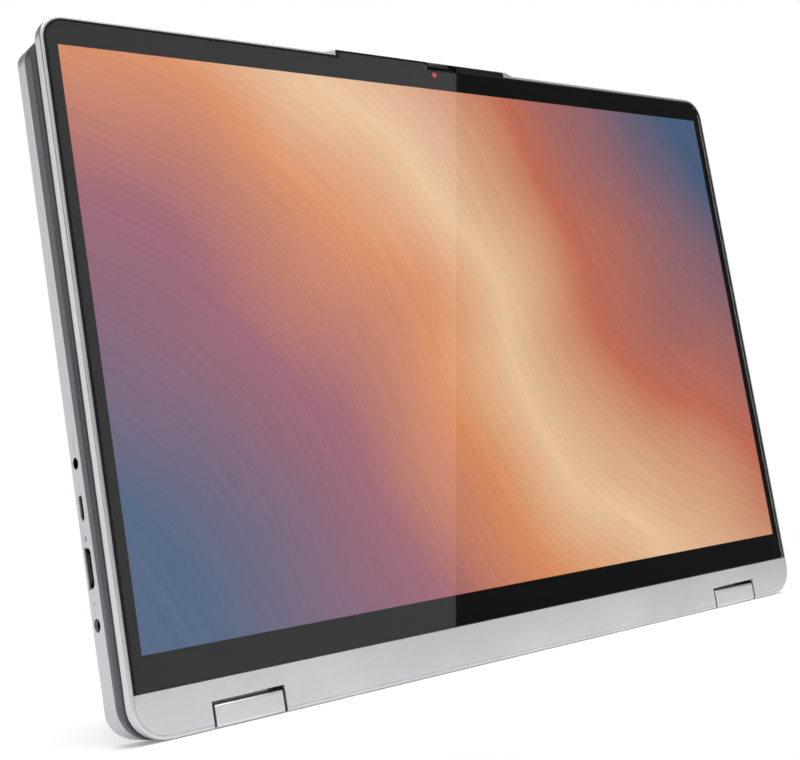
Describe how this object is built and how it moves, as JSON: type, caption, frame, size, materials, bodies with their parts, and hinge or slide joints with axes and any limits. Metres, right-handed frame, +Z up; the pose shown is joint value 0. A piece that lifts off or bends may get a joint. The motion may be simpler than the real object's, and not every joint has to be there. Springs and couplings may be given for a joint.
{
  "type": "convertible laptop computer",
  "caption": "Sixteen-inch convertible laptop folded round into tablet form on a geared two-axis hinge, with keyboard deck, touchpad, side sockets and inner parts.",
  "frame": {"origin": "bottom centre of the bounding box, on the hinge edge the folded machine stands on", "axes": "+Z up along the height of the display, the display faces -Y and the keys face +Y, +X to the right of somebody facing the display; the main socket side is -X"},
  "size_m": [0.3576, 0.0222, 0.2569],
  "materials": {
    "lid_metal": "bead blasted, anodised",
    "deck_metal": "bead blasted, anodised",
    "bottom_metal": "dark anodised",
    "soft_rubber": "matt",
    "screen_glass": "polished",
    "lit_panel": "lit picture",
    "moulded_plastic": "moulded",
    "shutter_plastic": "moulded, red face behind the camera hole",
    "hinge_steel": "turned",
    "hinge_metal": "anodised",
    "circuit_board": "solder mask",
    "chip_plastic": "moulded",
    "antenna_foil": "foil",
    "plated_steel": "nickel plated",
    "copper": "drawn copper",
    "fin_aluminium": "rolled",
    "cell_foil": "wrapped",
    "web_plastic": "moulded",
    "touchpad_glass": "satin etched",
    "button_metal": "anodised",
    "led_lens": "clear lens",
    "key_plastic": "fine matt coating"
  },
  "bodies": {
    "base": {"deck_cover": "deck_metal", "bottom_cover": "bottom_metal", "rubber_feet": "soft_rubber", "bottom_screws": "plated_steel", "base_hinge_brackets": "hinge_steel", "base_hinge_shafts": "hinge_steel", "motherboard": "circuit_board", "board_chips": "chip_plastic", "heat_pipe": "copper", "fan_housing": "moulded_plastic", "cooling_fins": "fin_aluminium", "battery_cells": "cell_foil", "battery_frame": "moulded_plastic", "ssd_module": "circuit_board", "wifi_card": "circuit_board", "speakers": "moulded_plastic", "io_board": "circuit_board", "keyboard_plate": "plated_steel", "keyboard_web": "web_plastic", "touchpad_board": "circuit_board", "hdmi_socket": "plated_steel", "usb_c_socket": "plated_steel", "audio_socket": "moulded_plastic", "power_socket": "moulded_plastic", "usb_a_sockets": "plated_steel", "card_reader": "plated_steel", "status_led": "led_lens", "fingerprint_sensor": "moulded_plastic"},
    "hinge_links": {"hinge_link_left": "hinge_metal", "hinge_link_right": "hinge_metal", "hinge_link_caps": "hinge_metal"},
    "lid": {"lid_cover": "lid_metal", "lid_gasket": "soft_rubber", "screen_glass": "screen_glass", "lcd_panel": "lit_panel", "chin_cover": "lid_metal", "camera_module": "moulded_plastic", "lid_hinge_brackets": "hinge_steel", "lid_hinge_shafts": "hinge_steel", "display_board": "circuit_board", "wifi_antennas": "antenna_foil", "lid_magnets": "plated_steel"},
    "idlers_lid_side": {"idler_gears_lid_side": "hinge_steel"},
    "idlers_base_side": {"idler_gears_base_side": "hinge_steel"},
    "camera_shutter": {"camera_shutter": "shutter_plastic"},
    "fan_rotor": {"fan_rotor": "moulded_plastic"},
    "touchpad": {"touchpad": "touchpad_glass"},
    "power_button": {"power_button": "button_metal"},
    "function_keys": {"function_keys": "key_plastic"},
    "number_keys": {"number_keys": "key_plastic"},
    "upper_letter_keys": {"upper_letter_keys": "key_plastic"},
    "home_letter_keys": {"home_letter_keys": "key_plastic"},
    "lower_letter_keys": {"lower_letter_keys": "key_plastic"},
    "modifier_keys": {"modifier_keys": "key_plastic"},
    "space_bar": {"space_bar": "key_plastic"},
    "enter_key": {"enter_key": "key_plastic"},
    "backspace_key": {"backspace_key": "key_plastic"},
    "arrow_keys": {"arrow_keys": "key_plastic"},
    "numpad_keys": {"numpad_keys": "key_plastic"}
  },
  "joints": [
    {"name": "hinge_base", "type": "hinge", "parent": "base", "child": "hinge_links", "pos_m": [0, 0.0036, 0.004], "axis": [1, 0, 0], "range_deg": [0, 180]},
    {"name": "hinge_lid", "type": "hinge", "parent": "hinge_links", "child": "lid", "pos_m": [0, -0.00785, 0.004], "axis": [1, 0, 0], "range_deg": [0, 180]},
    {"name": "idler_lid_turn", "type": "hinge", "parent": "hinge_links", "child": "idlers_lid_side", "pos_m": [0, -0.00403, 0.004], "axis": [1, 0, 0], "range_deg": [-180, 0]},
    {"name": "idler_base_turn", "type": "hinge", "parent": "hinge_links", "child": "idlers_base_side", "pos_m": [0, -0.00022, 0.004], "axis": [1, 0, 0], "range_deg": [0, 180]},
    {"name": "shutter_slide", "type": "slide", "parent": "lid", "child": "camera_shutter", "axis": [1, 0, 0], "range_m": [0, 0.0045]},
    {"name": "fan_spin", "type": "hinge", "parent": "base", "child": "fan_rotor", "pos_m": [0.082, 0, 0.062], "axis": [0, 1, 0], "continuous": true},
    {"name": "touchpad_click", "type": "hinge", "parent": "base", "child": "touchpad", "pos_m": [-0.027, 0.01005, 0.158], "axis": [1, 0, 0], "range_deg": [0, 0.4], "stiffness_Nm_per_rad": 20},
    {"name": "power_press", "type": "slide", "parent": "base", "child": "power_button", "axis": [-1, 0, 0], "range_m": [0, 0.0005], "stiffness_N_per_m": 900},
    {"name": "function_keys_press", "type": "slide", "parent": "base", "child": "function_keys", "axis": [0, -1, 0], "range_m": [0, 0.0012], "stiffness_N_per_m": 500},
    {"name": "number_keys_press", "type": "slide", "parent": "base", "child": "number_keys", "axis": [0, -1, 0], "range_m": [0, 0.0012], "stiffness_N_per_m": 500},
    {"name": "upper_letter_keys_press", "type": "slide", "parent": "base", "child": "upper_letter_keys", "axis": [0, -1, 0], "range_m": [0, 0.0012], "stiffness_N_per_m": 500},
    {"name": "home_letter_keys_press", "type": "slide", "parent": "base", "child": "home_letter_keys", "axis": [0, -1, 0], "range_m": [0, 0.0012], "stiffness_N_per_m": 500},
    {"name": "lower_letter_keys_press", "type": "slide", "parent": "base", "child": "lower_letter_keys", "axis": [0, -1, 0], "range_m": [0, 0.0012], "stiffness_N_per_m": 500},
    {"name": "modifier_keys_press", "type": "slide", "parent": "base", "child": "modifier_keys", "axis": [0, -1, 0], "range_m": [0, 0.0012], "stiffness_N_per_m": 500},
    {"name": "space_bar_press", "type": "slide", "parent": "base", "child": "space_bar", "axis": [0, -1, 0], "range_m": [0, 0.0012], "stiffness_N_per_m": 500},
    {"name": "enter_key_press", "type": "slide", "parent": "base", "child": "enter_key", "axis": [0, -1, 0], "range_m": [0, 0.0012], "stiffness_N_per_m": 500},
    {"name": "backspace_key_press", "type": "slide", "parent": "base", "child": "backspace_key", "axis": [0, -1, 0], "range_m": [0, 0.0012], "stiffness_N_per_m": 500},
    {"name": "arrow_keys_press", "type": "slide", "parent": "base", "child": "arrow_keys", "axis": [0, -1, 0], "range_m": [0, 0.0012], "stiffness_N_per_m": 500},
    {"name": "numpad_keys_press", "type": "slide", "parent": "base", "child": "numpad_keys", "axis": [0, -1, 0], "range_m": [0, 0.0012], "stiffness_N_per_m": 500}
  ],
  "couplings": [
    {"joint": "hinge_lid", "follows": "hinge_base", "ratio": 1},
    {"joint": "idler_lid_turn", "follows": "hinge_base", "ratio": -1},
    {"joint": "idler_base_turn", "follows": "hinge_base", "ratio": 1}
  ]
}
